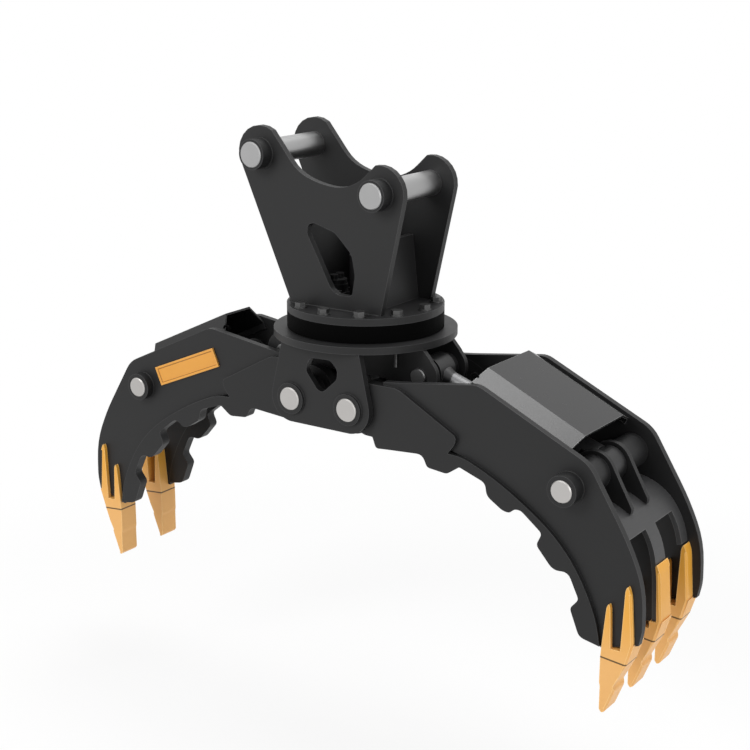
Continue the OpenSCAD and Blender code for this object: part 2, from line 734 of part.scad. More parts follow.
mount_pin_half = ear_gap / 2 + ear_t + ear_boss_len + pin_proud;

// A leaning cross plate between the ears
web_lean = 17;
web_top = 212;
stick_web_top = 250;
module head_web(x, lean, top) {
    z1 = plate_z + top;
    along_y(-ear_gap / 2, ear_gap / 2)
        polygon([[x, deck_z], [x + lean, z1], [x + lean - web_t, z1], [x - web_t, deck_z]]);
}

// Colours
dark = [0.22, 0.22, 0.23];
deep = [0.1, 0.1, 0.11];
steel = [0.75, 0.75, 0.76];
amber = [0.93, 0.66, 0.3];
bronze = [0.66, 0.52, 0.3];

module rear() { mirror([0, 1, 0]) children(); }
module narrow() { mirror([1, 0, 0]) children(); }

module ear_front() { color(dark) rear() ear(); }
module ear_rear() { color(dark) ear(); }
web_link_x = 86;
web_stick_x = -118;
stick_lean = 6;
module web_link_side() { color(dark) head_web(web_link_x, -web_lean, web_top); }
module web_stick_side() { color(dark) head_web(web_stick_x, stick_lean, stick_web_top); }
module head_flange() { color(dark) flange(); }
module stick_pin() { color(steel) pin_y(stick_c[0], stick_c[1], mount_pin_d, mount_pin_half); }
module link_pin() { color(steel) pin_y(link_c[0], link_c[1], mount_pin_d, mount_pin_half); }
module flange_bolts() {
    color(deep) for (i = [0:bolt_count - 1]) rotate([0, 0, i * 360 / bolt_count])
        translate([flange_bolt_r, 0, deck_z]) hex_bolt(bolt_d, flange_t + ring_h / 2);
}
module slew_outer_ring() { color(deep) slew_outer(); }
seal_t = 1.2;
seal_w = 5;
module slew_seal() {
    color("black") translate([0, 0, plate_z + (foot_gap - seal_t) / 2]) difference() {
        cylinder(r = race_r + ring_split + 2 * seal_w, h = seal_t, $fn = 96);
        translate([0, 0, -over])
            cylinder(r = race_r + ring_split + seal_w, h = seal_t + 2 * over, $fn = 96);
    }
}
motor_rim = 2;
motor_port_d = 20;
motor_port_h = 12;
module slew_motor() {
    color(deep) translate([motor_x, 0, deck_z]) difference() {
        union() {
            translate([-motor_foot / 2, -motor_foot / 2, 0])
                cube([motor_foot, motor_foot, motor_foot_t]);
            cylinder(r = motor_r, h = motor_h);
            translate([0, 0, motor_h / 2]) cylinder(r = motor_r + motor_rim, h = motor_h / 4);
            for (s = [-1, 1]) translate([0, s * motor_r / 2, motor_h])
                cylinder(d = motor_port_d, h = motor_port_h);
        }
        for (i = [0:3]) rotate([0, 0, 45 + 90 * i]) translate([motor_bolt_r, 0, -over])
            cylinder(d = motor_bolt_d + 2 * run_fit, h = motor_foot_t + 2 * over);
        translate([0, 0, -over]) cylinder(d = shaft_d + 2 * run_fit, h = motor_h / 3);
    }
}
module motor_bolts() {
    color(steel) for (i = [0:3]) rotate_at_motor(i) translate([0, 0, motor_foot_t])
        hex_bolt(motor_bolt_d, motor_foot_t + flange_t / 2);
}
hose_y = 18;
hose_port_d = 21;
hose_wall = 2.5;
hose_depth = 16;
hose_rise = 8;
swivel_roof = 14;
module swivel_housing() {
    color(deep) translate([0, 0, deck_z]) difference() {
        union() {
            cylinder(r = swivel_r, h = swivel_h);
            for (s = [-1, 1]) translate([0, s * hose_y, swivel_h])
                cylinder(d = hose_port_d + 2 * hose_wall, h = hose_rise);
        }
        translate([0, 0, -over]) cylinder(r = spool_r + run_fit, h = swivel_h - swivel_roof + over);
        for (s = [-1, 1]) translate([0, s * hose_y, swivel_h + hose_rise - hose_depth])
            cylinder(d = hose_port_d, h = hose_depth + over);
    }
}
module pinion() {
    color(steel) translate([pinion_x, 0, plate_z + gear_low]) {
        linear_extrude(ring_h - 2 * gear_low) polygon(gear_pts(pinion_teeth, gear_module,
            pinion_pitch - 1.15 * gear_module, pinion_pitch + 0.9 * gear_module, backlash));
        cylinder(d = shaft_d, h = deck_z - plate_z - gear_low + motor_h / 3 - 2 * over);
    }
}
module slew_inner_ring() { color(deep) slew_inner(); }
module slew_balls() {
    color(steel) for (i = [0:ball_count - 1]) rotate([0, 0, i * 360 / ball_count])
        translate([race_r, 0, race_z]) sphere(d = ball_d, $fn = 24);
}
module round_plate() {
    color(dark) difference() {
        translate([0, 0, plate_under]) cylinder(d = plate_d, h = plate_t, $fn = 96);
        translate([0, 0, plate_under - over]) cylinder(r = spool_r + run_fit, h = plate_t + 2 * over);
        ring_holes(ring_bolt_d + 2 * run_fit, plate_under - over, plate_z + over);
    }
}
module ring_bolts() {
    color(deep) for (i = [0:bolt_count - 1]) rotate([0, 0, (i + 0.5) * 360 / bolt_count])
        translate([ring_bolt_r, 0, plate_under]) mirror([0, 0, 1])
            hex_bolt(ring_bolt_d, plate_t + inner_h / 2 - 2 * over);
}
module bracket_front() { color(dark) rear() bracket(); }
module bracket_rear() { color(dark) bracket(); }
module frame_web() { color(dark) frame_cross_web(); }
module wide_clevis() { color(dark) clevis(); }
module narrow_clevis() { color(dark) narrow() clevis(); }
pivot_half = bracket_out + pin_boss + pin_proud;
module wide_pivot_pin() { color(steel) pin_y(jaw_x, jaw_z, jaw_pin_d, pivot_half); }
module narrow_pivot_pin() { color(steel) narrow() pin_y(jaw_x, jaw_z, jaw_pin_d, pivot_half); }
clevis_pin_half = clevis_in + clevis_t + 2 * pin_proud;
module wide_clevis_pin() { color(steel) pin_y(eye_x, eye_z, eye_pin_d, clevis_pin_half); }
module narrow_clevis_pin() {
    color(steel) narrow() pin_y(eye_x, eye_z, eye_pin_d, clevis_pin_half);
}
spool_port_h = 40;
spool_port_d = 10;
spool_port_x = 14;
module swivel_spool() {
    color(steel) difference() {
        translate([0, 0, plate_under])
            cylinder(r = spool_r, h = deck_z - plate_under + swivel_h - swivel_roof - 2 * face_gap);
        for (s = [-1, 1]) translate([s * spool_port_x, 0, plate_under - over])
            cylinder(d = spool_port_d, h = spool_port_h);
    }
}

module wide_side_front() { color(dark) rear() side_plate(wide_half, side_boss_len); }
module wide_side_rear() { color(dark) side_plate(wide_half, side_boss_len); }
module wide_claw_front() { color(dark) rear() claw_plate(wide_half); }
module wide_claw_rear() { color(dark) claw_plate(wide_half); }
module wide_middle_tine() { color(dark) along_y(-tine_t / 2, tine_t / 2) middle_tine_2d(); }
strip_half = 24;
edge_strip = 32;
module wide_floor() {
    color(dark) belly(wide_half, [[-wide_in + edge_strip, -strip_half],
        [strip_half, wide_in - edge_strip]]);
}
module wide_ribs() { color(dark) rib_pair(wide_half); }
module wide_guard() { color([0.4, 0.4, 0.4]) guard(wide_half, guard_flank, guard_slope, guard_sink); }
module wide_hub() { color(dark) hub(wide_half); }
module wide_bushes() { color(bronze) bushes(); }
wide_pin_half = wide_half + side_boss_len + pin_proud;
module wide_cylinder_pin() { color(steel) pin_y(cyl_x, cyl_z, cyl_pin_d, wide_pin_half); }
wide_tooth_y = wide_half + claw_proud - tooth_w / 2;
module wide_adapters() {
    color(amber) {
        for (m = [0, 1]) mirror([0, m, 0])
            adapter(wide_tooth_y - tooth_w / 2, wide_in, wide_half, wide_half + claw_proud);
        middle_adapter();
    }
}
module wide_teeth() { color(amber) for (y = [-wide_tooth_y, 0, wide_tooth_y]) tooth(y); }
module wide_barrel() { color(deep) barrel(); }
module wide_gland() { color(deep) gland(); }
module wide_rod() { color(steel) piston_rod(); }

module narrow_side_front() { color(dark) narrow() rear() side_plate(narrow_half, narrow_boss_len); }
module narrow_side_rear() { color(dark) narrow() side_plate(narrow_half, narrow_boss_len); }
module narrow_claw_front() { color(dark) narrow() rear() claw_plate(narrow_half); }
module narrow_claw_rear() { color(dark) narrow() claw_plate(narrow_half); }
middle_slot = 34;
module narrow_floor() { color(dark) narrow() belly(narrow_half, [[-middle_slot, middle_slot]]); }
module narrow_ribs() { color(dark) narrow() rib_pair(narrow_half); }
module narrow_guard() {
    color([0.4, 0.4, 0.4]) narrow() guard(narrow_half, narrow_flank, narrow_slope, narrow_sink);
}
module narrow_hub() { color(dark) narrow() hub(narrow_half); }
module narrow_bushes() { color(bronze) narrow() bushes(); }
narrow_pin_half = narrow_half + narrow_boss_len + pin_proud;
module narrow_cylinder_pin() {
    color(steel) narrow() pin_y(cyl_x, cyl_z, cyl_pin_d, narrow_pin_half);
}
narrow_tooth_y = narrow_half + claw_proud - tooth_w / 2;
module narrow_adapters() {
    color(amber) narrow() for (m = [0, 1]) mirror([0, m, 0])
        adapter(narrow_tooth_y - tooth_w / 2, narrow_in, narrow_half, narrow_half + claw_proud);
}
module narrow_teeth() {
    color(amber) narrow() for (y = [-narrow_tooth_y, narrow_tooth_y]) tooth(y);
}
module narrow_barrel() { color(deep) narrow() barrel(); }
module narrow_gland() { color(deep) narrow() gland(); }
module narrow_rod() { color(steel) narrow() piston_rod(); }

ear_front();
ear_rear();
web_stick_side();
web_link_side();
head_flange();
stick_pin();
link_pin();
flange_bolts();
slew_outer_ring();
slew_seal();
slew_motor();
motor_bolts();
swivel_housing();
pinion();
slew_inner_ring();
slew_balls();
round_plate();
ring_bolts();
bracket_front();
bracket_rear();
frame_web();
wide_clevis();
narrow_clevis();
wide_pivot_pin();
narrow_pivot_pin();
wide_clevis_pin();
narrow_clevis_pin();
swivel_spool();
wide_side_front();
wide_side_rear();
wide_claw_front();
wide_claw_rear();
wide_middle_tine();
wide_floor();
wide_ribs();
wide_guard();
wide_hub();
wide_bushes();
wide_cylinder_pin();
wide_adapters();
wide_teeth();
wide_barrel();
wide_gland();
wide_rod();
narrow_side_front();
narrow_side_rear();
narrow_claw_front();
narrow_claw_rear();
narrow_floor();
narrow_ribs();
narrow_guard();
narrow_hub();
narrow_bushes();
narrow_cylinder_pin();
narrow_adapters();
narrow_teeth();
narrow_barrel();
narrow_gland();
narrow_rod();
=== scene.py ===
import bpy, bmesh, math
from mathutils import Matrix, Vector


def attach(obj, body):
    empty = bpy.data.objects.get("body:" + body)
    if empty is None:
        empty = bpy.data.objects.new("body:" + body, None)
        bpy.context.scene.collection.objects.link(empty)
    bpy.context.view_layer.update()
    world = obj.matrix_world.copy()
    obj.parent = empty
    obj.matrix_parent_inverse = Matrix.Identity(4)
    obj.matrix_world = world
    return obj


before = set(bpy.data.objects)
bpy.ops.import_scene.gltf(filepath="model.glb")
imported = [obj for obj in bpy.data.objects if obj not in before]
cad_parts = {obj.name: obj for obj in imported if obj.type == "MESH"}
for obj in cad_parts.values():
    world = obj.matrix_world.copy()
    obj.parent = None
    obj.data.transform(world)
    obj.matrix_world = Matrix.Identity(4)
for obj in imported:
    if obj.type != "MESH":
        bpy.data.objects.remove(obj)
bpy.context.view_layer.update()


# The photograph is a studio cut-out on white, seen from a little above, past the
# front of the wide jaw, with a moderately long lens.
view_az = math.radians(34.744)
view_el = math.radians(15.774)
view_away, view_reach = 3.7215, 400
view_lens, film_width = 73.908, 36
view_side, view_height = 0.02202, 0.60252
view_aim = Vector((view_side * math.cos(view_az), view_side * math.sin(view_az), view_height))
view_back = Vector((math.sin(view_az) * math.cos(view_el),
                    -math.cos(view_az) * math.cos(view_el), math.sin(view_el)))
camera_data = bpy.data.cameras.new("photo_camera")
camera_data.lens = view_lens
camera_data.sensor_width = film_width
camera_data.sensor_fit = "HORIZONTAL"
camera_data.clip_end = view_reach
camera = bpy.data.objects.new("photo_camera", camera_data)
bpy.context.scene.collection.objects.link(camera)
camera.location = view_aim + view_back * view_away
camera.rotation_euler = view_back.to_track_quat("Z", "Y").to_euler()
bpy.context.scene.camera = camera


# Ears, brackets, claws and side plates: flame-cut steel plate with a satin black
# coat, faintly cloudy, and a painted highlight along every cut edge.
plate_names = ["ear_front", "ear_rear", "web_stick_side", "web_link_side", "bracket_front",
               "bracket_rear", "frame_web", "wide_clevis", "narrow_clevis", "round_plate",
               "head_flange", "wide_middle_tine"]
for side in ("wide", "narrow"):
    plate_names += [side + part for part in ("_side_front", "_side_rear", "_claw_front",
                                             "_claw_rear", "_ribs", "_hub")]


# Shader sums are written as plain Python: a Wire is one socket of a finish, and
# sums on it add Math nodes.
class Wire:
    def __init__(self, finish, socket):
        self.finish, self.socket = finish, socket

    def _sum(self, operation, a, b):
        return self.finish.add("ShaderNodeMath", {"operation": operation}, {0: a, 1: b})[0]

    def __add__(self, other): return self._sum("ADD", self, other)
    def __radd__(self, other): return self._sum("ADD", other, self)
    def __sub__(self, other): return self._sum("SUBTRACT", self, other)
    def __rsub__(self, other): return self._sum("SUBTRACT", other, self)
    def __mul__(self, other): return self._sum("MULTIPLY", self, other)
    def __rmul__(self, other): return self._sum("MULTIPLY", other, self)
    def __pow__(self, other): return self._sum("POWER", self, other)
    def __abs__(self): return self._sum("ABSOLUTE", self, 0.0)
    def highest(self, other): return self._sum("MAXIMUM", self, other)

    # 0 below the first value, 1 above the second, smooth between them
    def fade(self, low, high):
        return self.finish.add("ShaderNodeMapRange", {"interpolation_type": "SMOOTHSTEP"},
                               {0: self, 1: low, 2: high})[0]


# What one node gives, by the name or the number of its output
class Node:
    def __init__(self, finish, node):
        self.finish, self.node = finish, node

    def __getitem__(self, key):
        return Wire(self.finish, self.node.outputs[key])


# One finish: a material, or the world, whose nodes are added by type, settings and
# inputs. An input is a Wire, a number, or a colour of three values.
class Finish:
    def __init__(self, name, kind="Material"):
        shelf = bpy.data.worlds if kind == "World" else bpy.data.materials
        self.made = shelf.new(name)
        self.made.use_nodes = True
        self.tree = self.made.node_tree
        self.tree.nodes.clear()
        self.end = self.tree.nodes.new("ShaderNodeOutput" + kind)

    def add(self, kind, settings={}, inputs={}):
        node = self.tree.nodes.new(kind)
        for name, value in settings.items():
            setattr(node, name, value)
        for name, value in inputs.items():
            if isinstance(value, Wire):
                self.tree.links.new(value.socket, node.inputs[name])
            elif isinstance(value, (int, float)):
                node.inputs[name].default_value = value
            else:
                node.inputs[name].default_value = (*value, 1)
        return Node(self, node)

    # The point on the object, in metres
    def place(self):
        return self.add("ShaderNodeTexCoord")["Object"]

    # The same point in parts, by "X", "Y" and "Z"
    def parts(self):
        return self.add("ShaderNodeSeparateXYZ", {}, {0: self.place()})

    def noise(self, scale, detail=2, rough=0.5):
        return self.add("ShaderNodeTexNoise", {}, {
            "Vector": self.place(), "Scale": scale, "Detail": detail, "Roughness": rough})["Fac"]

    def mix(self, share, first, second):
        return self.add("ShaderNodeMix", {"data_type": "RGBA"}, {0: share, 6: first, 7: second})[2]

    # How sharp the edge is under this point, 0 on flats, 1 on edges
    def edges(self, radius, flat=0.004, sharp=0.06):
        bevel = self.add("ShaderNodeBevel", {"samples": 8}, {"Radius": radius})["Normal"]
        plain = self.add("ShaderNodeNewGeometry")["Normal"]
        turn = self.add("ShaderNodeVectorMath", {"operation": "DOT_PRODUCT"}, {0: bevel, 1: plain})
        return (1 - turn["Value"]).fade(flat, sharp)

    def bump(self, height, strength, depth):
        return self.add("ShaderNodeBump", {}, {
            "Strength": strength, "Distance": depth, "Height": height})["Normal"]

    # Ends the finish with a shader, and gives what was made
    def done(self, shader):
        self.tree.links.new(shader.socket, self.end.inputs["Surface"])
        return self.made

    def surface(self, inputs):
        return self.done(self.add("ShaderNodeBsdfPrincipled", {}, inputs)["BSDF"])


# A sprayed coat: cloud is how far its colour wanders; a painted highlight in its own
# colour runs along every edge and reaches its radius in from the edge. The scales are
# those of clouds, scuffs and grain.
cloud_scale, scuff_scale, grain_scale = 3.5, 60, 900
scuff_cloud, scuff_band = (0.45, 0.7), (0.25, 0.6)


def coat(name, colour, edge_highlight, rough, cloud=0.12, edge_highlight_radius=0.0025, gloss=0.5):
    sprayed = Finish(name)
    soft = sprayed.noise(cloud_scale, detail=3)
    fine = sprayed.noise(scuff_scale, detail=4, rough=0.6)
    grain = sprayed.noise(grain_scale)
    scuff = (fine * soft.fade(*scuff_cloud)).fade(*scuff_band)
    base = sprayed.mix(soft, [c * (1 - cloud) for c in colour], [c * (1 + cloud) for c in colour])
    # Painted highlight along every edge, mottled by the fine noise
    base = sprayed.mix(sprayed.edges(edge_highlight_radius) * (0.55 + 0.4 * fine), base, edge_highlight)
    return sprayed.surface({
        "Base Color": base, "Specular IOR Level": gloss,
        "Roughness": rough + 0.1 * soft + 0.06 * fine - 0.08 * scuff,
        "Normal": sprayed.bump(grain * 0.5 + fine * 0.5, strength=0.12, depth=0.0006)})


def paint(names, material):
    for name in names:
        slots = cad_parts[name].data.materials
        slots.clear()
        slots.append(material)


plate_coat = coat("plate_coat", colour=(0.0095, 0.0095, 0.0098), edge_highlight=(0.06, 0.06, 0.062),
                  rough=0.42, edge_highlight_radius=0.0018, gloss=0.33)
paint(plate_names, plate_coat)


# Belly plates: steel plate bent to the inside of the tines and welded in, with the
# same coat in a greyer colour.
belly_coat = coat("belly_coat", colour=(0.046, 0.046, 0.047), edge_highlight=(0.12, 0.12, 0.12),
                  rough=0.36, gloss=0.4)
paint(["wide_floor", "narrow_floor"], belly_coat)


# Cylinder guards: folded sheet steel. The wide one has been brushed smooth by the
# load and shines, the narrow one still has the coat of the plates.
guard_coat = coat("guard_coat", colour=(0.01, 0.01, 0.0103), edge_highlight=(0.14, 0.14, 0.14),
                  rough=0.18, cloud=0.08)
paint(["wide_guard"], guard_coat)
paint(["narrow_guard"], plate_coat)


# Slew bearing, motor, swivel and cylinder barrels: bought-in parts in deep black,
# the rings of the bearing and its rubber seal flat, the rest semi-gloss.
black_coat = coat("black_coat", colour=(0.005, 0.005, 0.0055), edge_highlight=(0.03, 0.03, 0.03), rough=0.35)
paint(["slew_motor", "swivel_housing", "wide_barrel", "narrow_barrel", "wide_gland",
       "narrow_gland"], black_coat)
band_coat = coat("band_coat", colour=(0.0008, 0.0008, 0.0008), edge_highlight=(0.004, 0.004, 0.004),
                 rough=0.6, gloss=0.03)
paint(["slew_outer_ring", "slew_inner_ring"], band_coat)
seal_rubber = coat("seal_rubber", colour=(0.004, 0.004, 0.004), edge_highlight=(0.01, 0.01, 0.01),
                   rough=0.7, gloss=0.2)
paint(["slew_seal"], seal_rubber)


# Adapters and tooth points: castings sprayed orange-yellow, deeper in colour towards
# the prongs, with painted shade along the gap where a point seats on its adapter.
# The shaded line is seam_top high at seam_start and falls by seam_fall in seam_run.
seam_top, seam_fall, seam_start, seam_run = 0.131, 0.006, 0.734, 0.061
seam_core, seam_edge = 0.0011, 0.0026
deep_foot, deep_top = 0.1, 0.26
tooth = Finish("tooth_coat")
spot = tooth.parts()
soft = tooth.noise(9, detail=3)
fine = tooth.noise(90, detail=4, rough=0.6)
seam = abs(spot["Z"] + (seam_fall / seam_run) * (abs(spot["X"]) - seam_start) - seam_top)
base = tooth.mix(soft, (0.76, 0.39, 0.115), (0.85, 0.47, 0.155))
base = tooth.mix(spot["Z"].fade(deep_foot, deep_top), base, (0.78, 0.37, 0.04))
# Painted highlight along the edges of the castings
base = tooth.mix(tooth.edges(radius=0.003) * (0.6 + 0.4 * fine), base, (0.95, 0.62, 0.25))
# Painted shade of the gap between point and adapter: a dark line along the joint
base = tooth.mix(1 - seam.fade(seam_core, seam_edge), base, (0.09, 0.045, 0.006))
tooth_coat = tooth.surface({"Base Color": base, "Roughness": 0.38 + 0.12 * fine,
                            "Normal": tooth.bump(fine, strength=0.25, depth=0.0008)})
paint(["wide_adapters", "narrow_adapters", "wide_teeth", "narrow_teeth"], tooth_coat)


# Pins, slew balls, pinion and spool: turned and ground steel, left bare, with fine
# turning lines. The two mounting pins are a little darker than the jaws' pins.
def turned(name, colour, rough):
    steel = Finish(name)
    fine = steel.noise(250, detail=3, rough=0.6)
    base = steel.mix(steel.noise(12), [c * 0.85 for c in colour], colour)
    # Painted highlight along the turned edges
    base = steel.mix(steel.edges(radius=0.0015), base, [min(1.0, c * 1.35) for c in colour])
    return steel.surface({"Base Color": base, "Metallic": 1.0, "Roughness": rough + 0.12 * fine,
                          "Normal": steel.bump(fine, strength=0.08, depth=0.0003)})


pin_steel = turned("pin_steel", colour=(0.52, 0.505, 0.49), rough=0.3)
paint(["wide_pivot_pin", "narrow_pivot_pin", "wide_cylinder_pin", "narrow_cylinder_pin",
       "slew_balls", "pinion", "swivel_spool"], pin_steel)
mount_steel = turned("mount_steel", colour=(0.4, 0.4, 0.4), rough=0.3)
paint(["stick_pin", "link_pin"], mount_steel)


# Clevis pins: the same turned steel with an oiled face, painted darker for the
# shade of the round plate above them. They run through the clevis plates and carry
# the eyes of the piston rods.
oiled_shaded_steel = turned("oiled_shaded_steel", colour=(0.2, 0.2, 0.2), rough=0.34)
paint(["wide_clevis_pin", "narrow_clevis_pin"], oiled_shaded_steel)


# Bolts: blackened steel, screwed in on their washers. Bushes: drawn bronze, seated
# in the ends of the hub tubes.
bolt_steel = turned("bolt_steel", colour=(0.1, 0.1, 0.1), rough=0.4)
paint(["flange_bolts", "ring_bolts", "motor_bolts"], bolt_steel)
bush_bronze = turned("bush_bronze", colour=(0.5, 0.33, 0.15), rough=0.3)
paint(["wide_bushes", "narrow_bushes"], bush_bronze)


# Piston rods: ground and chromed bar, welded to an eye that is painted black up to
# the end of its neck, paint_reach from the middle of the eye.
eye_x, eye_z, paint_reach, paint_fade = 0.197, 0.646, 0.0555, 0.001
rod = Finish("rod_chrome")
spot = rod.parts()
out, up = abs(spot["X"]) - eye_x, spot["Z"] - eye_z
bare = ((out * out + up * up) ** 0.5).fade(paint_reach, paint_reach + paint_fade)
fine = rod.noise(300, detail=3, rough=0.6)
# Painted highlight along the edges of the painted eye
painted = rod.mix(rod.edges(radius=0.0025), (0.012, 0.012, 0.0125), (0.07, 0.07, 0.07))
rod_chrome = rod.surface({"Base Color": rod.mix(bare, painted, (0.17, 0.17, 0.173)),
                          "Metallic": bare, "Roughness": 0.42 + 0.06 * bare + 0.08 * fine,
                          "Normal": rod.bump(fine, strength=0.06, depth=0.0003)})
paint(["wide_rod", "narrow_rod"], rod_chrome)


# Name plate of the two-tine jaw: a cast plate with a raised rim, sprayed like the
# teeth and left bare. It sits on the front side plate, in line with the upper edge.
plate_corners = ((-0.594, 0.551), (-0.398, 0.632), (-0.378, 0.587), (-0.574, 0.506))
side_face, plate_height, plate_edge = -0.098, 0.005, 0.0006
rim_width, rim_height = 0.005, 0.003
slope_top_gap, slope_foot_gap, slope_fade = 0.0003, 0.0001, 0.0006


def points_of(grown):
    return [g for g in grown if isinstance(g, bmesh.types.BMVert)]


def lines_of(grown):
    return [g for g in grown if isinstance(g, bmesh.types.BMEdge)]


def round_off(mesh, edges, width):
    bmesh.ops.bevel(mesh, geom=edges, offset=width, offset_type="OFFSET", affect="EDGES",
                    segments=2, profile=0.5, material=-1)


# A finished bmesh becomes a piece that rides on a body
def piece(name, mesh, body, material, smooth=False):
    bmesh.ops.recalc_face_normals(mesh, faces=mesh.faces)
    data = bpy.data.meshes.new(name)
    mesh.to_mesh(data)
    mesh.free()
    for face in data.polygons:
        face.use_smooth = smooth
    thing = bpy.data.objects.new(name, data)
    bpy.context.scene.collection.objects.link(thing)
    data.materials.append(material)
    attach(thing, body)


cast = bmesh.new()
face = cast.faces.new([cast.verts.new((x, side_face, z)) for x, z in plate_corners])
grown = bmesh.ops.extrude_face_region(cast, geom=[face])["geom"]
bmesh.ops.translate(cast, verts=points_of(grown), vec=(0, -plate_height, 0))
top_face = next(g for g in grown if isinstance(g, bmesh.types.BMFace))
cast.normal_update()
for width in (rim_width, rim_height):
    bmesh.ops.inset_region(cast, faces=[top_face], thickness=width, use_even_offset=True)
bmesh.ops.translate(cast, verts=list(top_face.verts), vec=(0, rim_height, 0))
round_off(cast, list(cast.edges), plate_edge)
plate = Finish("name_plate_coat")
depth = plate.parts()["Y"]
soft = plate.noise(14, detail=3)
fine = plate.noise(90, detail=4, rough=0.6)
slope_top = side_face - plate_height + slope_top_gap
slope_foot = side_face - plate_height + rim_height - slope_foot_gap
shaded_slope = (depth.fade(slope_top, slope_top + slope_fade)
         * (1 - depth.fade(slope_foot - slope_fade, slope_foot)))
base = plate.mix(soft, (0.68, 0.3, 0.04), (0.76, 0.35, 0.055))
# Painted highlight along the edges of the plate
base = plate.mix(plate.edges(radius=0.0015) * (0.6 + 0.4 * fine), base, (0.95, 0.58, 0.2))
# Painted shade on the inner slope of the raised rim
base = plate.mix(shaded_slope * 0.75, base, (0.25, 0.1, 0.008))
name_plate_coat = plate.surface({"Base Color": base, "Roughness": 0.38 + 0.1 * fine,
                                 "Normal": plate.bump(fine, strength=0.2, depth=0.0006)})
piece("bare_name_plate", cast, "narrow_jaw", name_plate_coat)


# Weld seams: round beads where the bosses stand on their plates, and rippled
# beads along the feet of the ears, brackets and clevises, under the same coat.
weld_coat = coat("weld_coat", colour=(0.0085, 0.0085, 0.0088), edge_highlight=(0.014, 0.014, 0.0145),
                 rough=0.45, gloss=0.3)
bead_sides, ring_steps = 8, 56
boss_bead, pivot_bead = 0.0024, 0.002
foot_bead, ripple_pitch, least_ripples = 0.0018, 0.004, 4
first_swell, swell, shrink, last_shrink = 1.6, 1.18, 0.85, 0.6


def round_bead(name, centre, radius, y, body, thick=boss_bead):
    bead = bmesh.new()
    bmesh.ops.create_circle(bead, cap_ends=False, segments=bead_sides, radius=thick)
    bmesh.ops.translate(bead, verts=bead.verts, vec=(radius, 0, 0))
    bmesh.ops.spin(bead, geom=list(bead.verts) + list(bead.edges), cent=(0, 0, 0),
                   axis=(0, 1, 0), angle=2 * math.pi, steps=ring_steps, use_merge=True)
    bmesh.ops.translate(bead, verts=bead.verts, vec=(centre[0], y, centre[1]))
    piece(name, bead, body, weld_coat, True)


# Each ripple swells or shrinks the section that the last one left
def straight_bead(name, start, end, body):
    run = Vector(end) - Vector(start)
    steps = max(least_ripples, int(run.length / ripple_pitch))
    bead = bmesh.new()
    bmesh.ops.create_circle(bead, cap_ends=True, segments=bead_sides, radius=foot_bead)
    loop = list(bead.edges)
    sizes = [swell if step % 2 else shrink for step in range(1, steps + 1)]
    sizes[0], sizes[-1] = first_swell, last_shrink
    for step, size in enumerate(sizes, 1):
        grown = bmesh.ops.extrude_edge_only(bead, edges=loop)["geom"]
        loop = lines_of(grown)
        bmesh.ops.translate(bead, verts=points_of(grown), vec=(0, 0, run.length / steps))
        middle = Vector((0, 0, step * run.length / steps))
        bmesh.ops.scale(bead, verts=points_of(grown), vec=(size, size, 1),
                        space=Matrix.Translation(-middle))
    bmesh.ops.contextual_create(bead, geom=loop)
    bmesh.ops.rotate(bead, verts=bead.verts, cent=(0, 0, 0),
                     matrix=run.to_track_quat("Z", "Y").to_matrix())
    bmesh.ops.translate(bead, verts=bead.verts, vec=start)
    piece(name, bead, body, weld_coat, True)


# Where the beads lie: heights of the two decks, half widths of the faces, places of
# the bosses as x and z, and the ends of the feet along the grapple
deck, under_deck = 0.787, 0.711
ear_out, ear_in, bracket_out, bracket_in = 0.114, 0.098, 0.188, 0.172
wide_out, narrow_out, clevis_out, clevis_in = 0.16, 0.098, 0.068, 0.056
stick_boss, link_boss, mount_ring = (-0.221, 1.134), (0.118, 1.067), 0.0362
jaw_boss_x, jaw_boss_z, jaw_ring = 0.64, 0.495, 0.0352
pivot_x, pivot_z, pivot_ring = 0.082, 0.577, 0.0377
ear_foot_out, ear_foot_in = (-0.134, 0.119), (-0.1, 0.08)
bracket_foot, clevis_foot = (-0.107, 0.11), (0.012, 0.2)
for end, sign in (("front", -1), ("rear", 1)):
    round_bead("bead_stick_boss_" + end, stick_boss, mount_ring, sign * ear_out, "head")
    round_bead("bead_link_boss_" + end, link_boss, mount_ring, sign * ear_out, "head")
    for name, foot, y in (("out", ear_foot_out, ear_out), ("in", ear_foot_in, ear_in)):
        straight_bead("bead_ear_foot_%s_%s" % (name, end), (foot[0], sign * y, deck),
                      (foot[1], sign * y, deck), "head")
    round_bead("bead_wide_boss_" + end, (jaw_boss_x, jaw_boss_z), jaw_ring,
               sign * wide_out, "wide_jaw")
    round_bead("bead_narrow_boss_" + end, (-jaw_boss_x, jaw_boss_z), jaw_ring,
               sign * narrow_out, "narrow_jaw")
    for side, x in (("narrow", -pivot_x), ("wide", pivot_x)):
        round_bead("bead_pivot_%s_%s" % (end, side), (x, pivot_z), pivot_ring,
                   sign * bracket_out, "lower_frame", pivot_bead)
    for name, y in (("bead_bracket_", bracket_out), ("bead_bracket_in_", bracket_in)):
        straight_bead(name + end, (bracket_foot[0], sign * y, under_deck),
                      (bracket_foot[1], sign * y, under_deck), "lower_frame")
    for side, way in (("wide", 1), ("narrow", -1)):
        for name, y in (("out", clevis_out), ("in", clevis_in)):
            straight_bead("bead_clevis_%s_%s_%s" % (side, end, name),
                          (way * clevis_foot[0], sign * y, under_deck),
                          (way * clevis_foot[1], sign * y, under_deck), "lower_frame")


